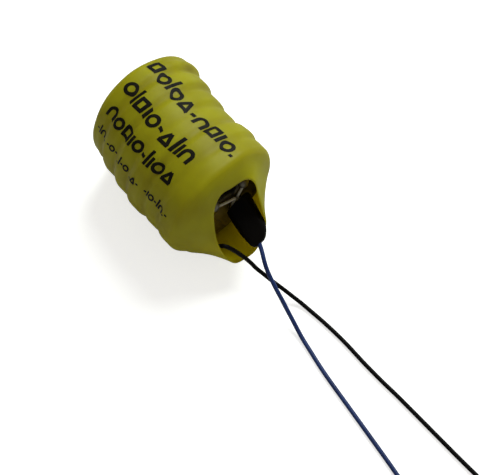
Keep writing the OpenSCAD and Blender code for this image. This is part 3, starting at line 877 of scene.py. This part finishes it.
def sleeve_rows():
    """The rows of the film from the hole to the mouth: what gives a place, and where along it."""
    start = CAP_EDGE_X + CRIMP_ROUND
    stop = NEAR_X - CAN_ROUND
    rows = [(end_point, k / END_ROWS) for k in range(END_ROWS + 1)]
    rows += [(wall_point, lerp(start, stop, k / WALL_ROWS)) for k in range(1, WALL_ROWS)]
    rows += [(corner_point, k / CORNER_ROWS) for k in range(CORNER_ROWS + 1)]
    rows += [(neck_point, k / NECK_ROWS) for k in range(1, NECK_ROWS + 1)]
    return rows


def valley_painted_shade_and_patches(p, a):
    """How much darker the film is painted here: painted shade in the valleys between the cells, and faint
    patches of uneven tone.
    """
    shade = PAINTED_VALLEY_SHADE * valley(p.x, a) if 0 < p.x < NEAR_X else 0.0
    shade += PATCH_SHADE * max(0.0, ripple(p.x, a, 4.0, 21.0))
    return min(1.0, shade)


def make_sleeve():
    """The film as one closed mesh, with its painted valley shade and faint patches at each place."""
    rows = sleeve_rows()
    verts, shades = [], []
    for off in (WALL, 0.0):
        for place_at, where in rows:
            for k in range(COLUMNS):
                a = 360 * k / COLUMNS
                p = place_at(where, a, off)
                verts.append(p)
                shades.append(valley_painted_shade_and_patches(p, a))
    faces = shell_faces(len(rows), COLUMNS)
    obj = make_mesh("shrink_sleeve", verts, faces, "sleeve_pvc", "outer_sleeve")
    # Painted shade for the valleys, with the faint patches, goes to the film's material as a value at each
    # vertex
    shade = obj.data.attributes.new("painted_shade_and_patches", "FLOAT", "POINT")
    shade.data.foreach_set("value", shades)
    add_bevel(obj, FILM_EDGE)


make_sleeve()


# ---------------------------------------------------------------- printed marks
# Measures on a mark are shares of its height: the width it takes up, its straight strokes
# from end to end, and its arcs as (middle, radius, first angle, last angle). The ink's lift
# off the film and its step along a stroke are in millimetres, its step round an arc in degrees.
STROKE = 0.19
LEAN = 0.12
MARK_GAP = 0.13
INK_LIFT = 0.03
INK_STEP = 0.2
ARC_STEP = 12
MARKS = {
    "bar": (0.14, [((0.07, 0), (0.07, 1))], []),
    "post": (0.14, [((0.07, 0), (0.07, 0.7))], []),
    "ring": (0.66, [], [((0.33, 0.36), 0.28, 0, 360)]),
    "arch": (0.62, [((0.06, 0), (0.06, 0.38)), ((0.56, 0), (0.56, 0.38))],
             [((0.31, 0.38), 0.25, 0, 180)]),
    "box": (0.6, [((0, 0.08), (0.6, 0.08)), ((0, 0.64), (0.6, 0.64)),
                  ((0.08, 0.08), (0.08, 0.64)), ((0.52, 0.08), (0.52, 0.64))], []),
    "peak": (0.66, [((0.06, 0.08), (0.33, 0.68)), ((0.33, 0.68), (0.6, 0.08)),
                    ((0, 0.08), (0.66, 0.08))], []),
    "dash": (0.28, [((0, 0.36), (0.28, 0.36))], []),
    "dot": (0.14, [((0.07, 0), (0.07, 0.16))], []),
    "space": (0.2, [], []),
}
# Each row: start along the pack, angle of its foot at x = 0, its change for each mm, height, marks
PRINT_ROWS = [
    (0.9, -9, -0.35, 2.7, "box ring bar ring peak dash arch box post ring dot"),
    (1.2, 21, -0.2, 2.7, "ring bar box post ring dash peak bar post arch"),
    (1.6, 46, -0.35, 2.4, "arch ring box post ring dash bar post ring peak"),
    (1.2, 65, 0, 1.4, "dash bar arch dot space dash ring dash space dot bar dash ring space dot peak dash"),
    (12.6, 65, 0, 1.4, "dash post ring dash bar arch dot dash"),
]


def stroke_rows(start, end, size):
    """Places across a straight stroke, three at each step along it."""
    start, end = Vector(start), Vector(end)
    way = end - start
    side = Vector((-way.y, way.x)).normalized() * STROKE / 2
    steps = max(1, math.ceil(size * way.length / INK_STEP))
    middles = [start.lerp(end, j / steps) for j in range(steps + 1)]
    return [[p - side, p, p + side] for p in middles]


def arc_rows(middle, r, first, last):
    """Places across an arc, three at each step round it."""
    rows = []
    for turn in range(first, last + 1, ARC_STEP):
        way = Vector((cosd(turn), sind(turn)))
        rows.append([Vector(middle) + way * (r + k * STROKE / 2) for k in (-1, 0, 1)])
    return rows


def make_print():
    """Flat marks laid on the film."""
    verts, faces = [], []
    for x, angle, turn, size, marks in PRINT_ROWS:
        for mark in marks.split():
            width, strokes, arcs = MARKS[mark]
            bands = [stroke_rows(*ends, size) for ends in strokes] + [arc_rows(*arc) for arc in arcs]
            for rows in bands:
                base = len(verts)
                for ahead, high in (p for places in rows for p in places):
                    place = x + size * (ahead + LEAN * high)
                    a = angle + turn * place - math.degrees(size * high / AXIS_Z)
                    verts.append(wall_point(place, a, WALL + INK_LIFT))
                for j in range(len(rows) - 1):
                    for q in (base + 3 * j, base + 3 * j + 1):
                        faces.append((q, q + 1, q + 4, q + 3))
            x += size * (width + MARK_GAP)
    make_mesh("sleeve_print", verts, faces, "print_ink")


make_print()


# ---------------------------------------------------------------- small black sleeve in the mouth
JOINT_WALL = 0.15
JOINT_SIDES = 48
# Its face is uneven by this share, and sinks this deep between its edges past SINK_FROM
JOINT_WAVE = 0.05
JOINT_SINK = 0.16
SINK_FROM = 3.8
# Each section: place along it, width across, thickness, offset
JOINT_SECTIONS = [
    (0.95, 4.1, 2.15, 0.25), (1.3, 4.1, 2.1, 0.26), (2.0, 4.1, 2.05, 0.27), (3.0, 4.05, 2.0, 0.27),
    (4.1, 3.95, 2.0, 0.28), (4.8, 3.8, 1.92, 0.35), (5.4, 3.55, 1.8, 0.38), (5.9, 3.25, 1.66, 0.32),
    (6.3, 2.85, 1.5, 0.23), (6.6, 2.4, 1.3, 0.2), (6.8, 1.9, 1.1, 0.16), (6.9, 1.35, 0.96, 0.14),
]


def joint_ring(section, inset):
    """A flattened ring of places round the small black sleeve."""
    reach, wide, thick, side = section
    forward = Vector((0, -sind(MOUTH_TURN), cosd(MOUTH_TURN)))
    across = Vector((0, cosd(MOUTH_TURN), sind(MOUTH_TURN)))
    r = thick / 2 - inset
    flat = (wide - thick) / 2
    ring = []
    for k in range(JOINT_SIDES):
        a = 360 * (k + 0.5) / JOINT_SIDES
        f = r * cosd(a) * (1 + JOINT_WAVE * noise.noise(Vector((reach, cosd(a), sind(a)))))
        v = r * sind(a) + math.copysign(flat, sind(a))
        between = cosd(a) * max(0.0, 1 - (v / (wide / 2)) ** 2)
        sunk = JOINT_SINK * between * ease((reach - SINK_FROM) / 2)
        ring.append(along(reach, side) + forward * (f - sunk) + across * v)
    return ring


def make_joint_sleeve():
    """The black tube over the circuit, open at both ends."""
    verts = []
    for inset in (0.0, JOINT_WALL):
        for section in JOINT_SECTIONS:
            verts += joint_ring(section, inset)
    # Its rings turn the other way from the outer sleeve's, so its faces do too
    faces = [(a, d, c, b) for a, b, c, d in shell_faces(len(JOINT_SECTIONS), JOINT_SIDES)]
    obj = make_mesh("small_black_sleeve", verts, faces, "joint_sleeve_black", "joint_sleeve")
    sub = obj.modifiers.new("smooth", "SUBSURF")
    sub.levels = 1
    sub.render_levels = 1


make_joint_sleeve()


# ---------------------------------------------------------------- CAD nodes that stay
def dress_cad_nodes():
    """Each CAD node gets the look of the slot that the record gives it."""
    for part in frame["record"]["subparts"]:
        obj = bpy.data.objects[part["node"]]
        look = LOOKS[part["material_slot"]]
        if obj.material_slots:
            for place in obj.material_slots:
                place.material = look
        else:
            obj.data.materials.append(look)


dress_cad_nodes()


# ---------------------------------------------------------------- floor and light
def make_floor():
    """A pale sheet that glows for the camera alone, so that it's white outside the shadow."""
    half, below = 1.5, 0.00002
    camera_glow = 0.66
    m = Nodes("floor")
    m.set(Roughness=0.9, Base_Color=(0.82, 0.82, 0.82, 1), Emission_Color=(1, 1, 1, 1))
    rays = m.add("ShaderNodeLightPath")
    glow = m.add("ShaderNodeMath", operation="MULTIPLY")
    m.link(rays.outputs["Is Camera Ray"], glow.inputs[0])
    glow.inputs[1].default_value = camera_glow
    m.link(glow.outputs[0], m.shader.inputs["Emission Strength"])
    mesh = bpy.data.meshes.new("floor")
    corners = [(-half, -half, 0), (half, -half, 0), (half, half, 0), (-half, half, 0)]
    mesh.from_pydata(corners, [], [(0, 1, 2, 3)])
    obj = bpy.data.objects.new("floor", mesh)
    obj.location.z = -below
    bpy.context.scene.collection.objects.link(obj)
    mesh.materials.append(m.material)


def make_lamp(name, direction, distance, size, power, color=(1, 1, 1)):
    """A round lamp that looks at the origin from a direction; distance and size are in metres."""
    data = bpy.data.lights.new(name, "AREA")
    data.shape = "DISK"
    data.size = size
    data.energy = power
    data.color = color
    obj = bpy.data.objects.new(name, data)
    bpy.context.scene.collection.objects.link(obj)
    way = Vector(direction).normalized()
    obj.location = way * distance
    obj.rotation_mode = "QUATERNION"
    obj.rotation_quaternion = (-way).to_track_quat("-Z", "Y")


def make_light():
    """A dim warm surround that shows white to the camera, a key lamp and a faint fill."""
    world = bpy.data.worlds.new("world")
    bpy.context.scene.world = world
    world.use_nodes = True
    tree = world.node_tree
    ground = tree.nodes["Background"]
    ground.inputs["Color"].default_value = (1, 0.955, 0.88, 1)
    rays = tree.nodes.new("ShaderNodeLightPath")
    strength = tree.nodes.new("ShaderNodeMapRange")
    strength.inputs["To Min"].default_value = 0.25
    strength.inputs["To Max"].default_value = 1.0
    tree.links.new(rays.outputs["Is Camera Ray"], strength.inputs["Value"])
    tree.links.new(strength.outputs["Result"], ground.inputs["Strength"])
    make_lamp("key", (-0.25, 0.8, 1.0), 0.35, 0.22, 1.12, (0.94, 1, 0.96))
    make_lamp("fill", (0.6, -1.0, 0.6), 0.4, 0.3, 0.06)
    bpy.context.scene.view_settings.view_transform = "Standard"


make_floor()
make_light()
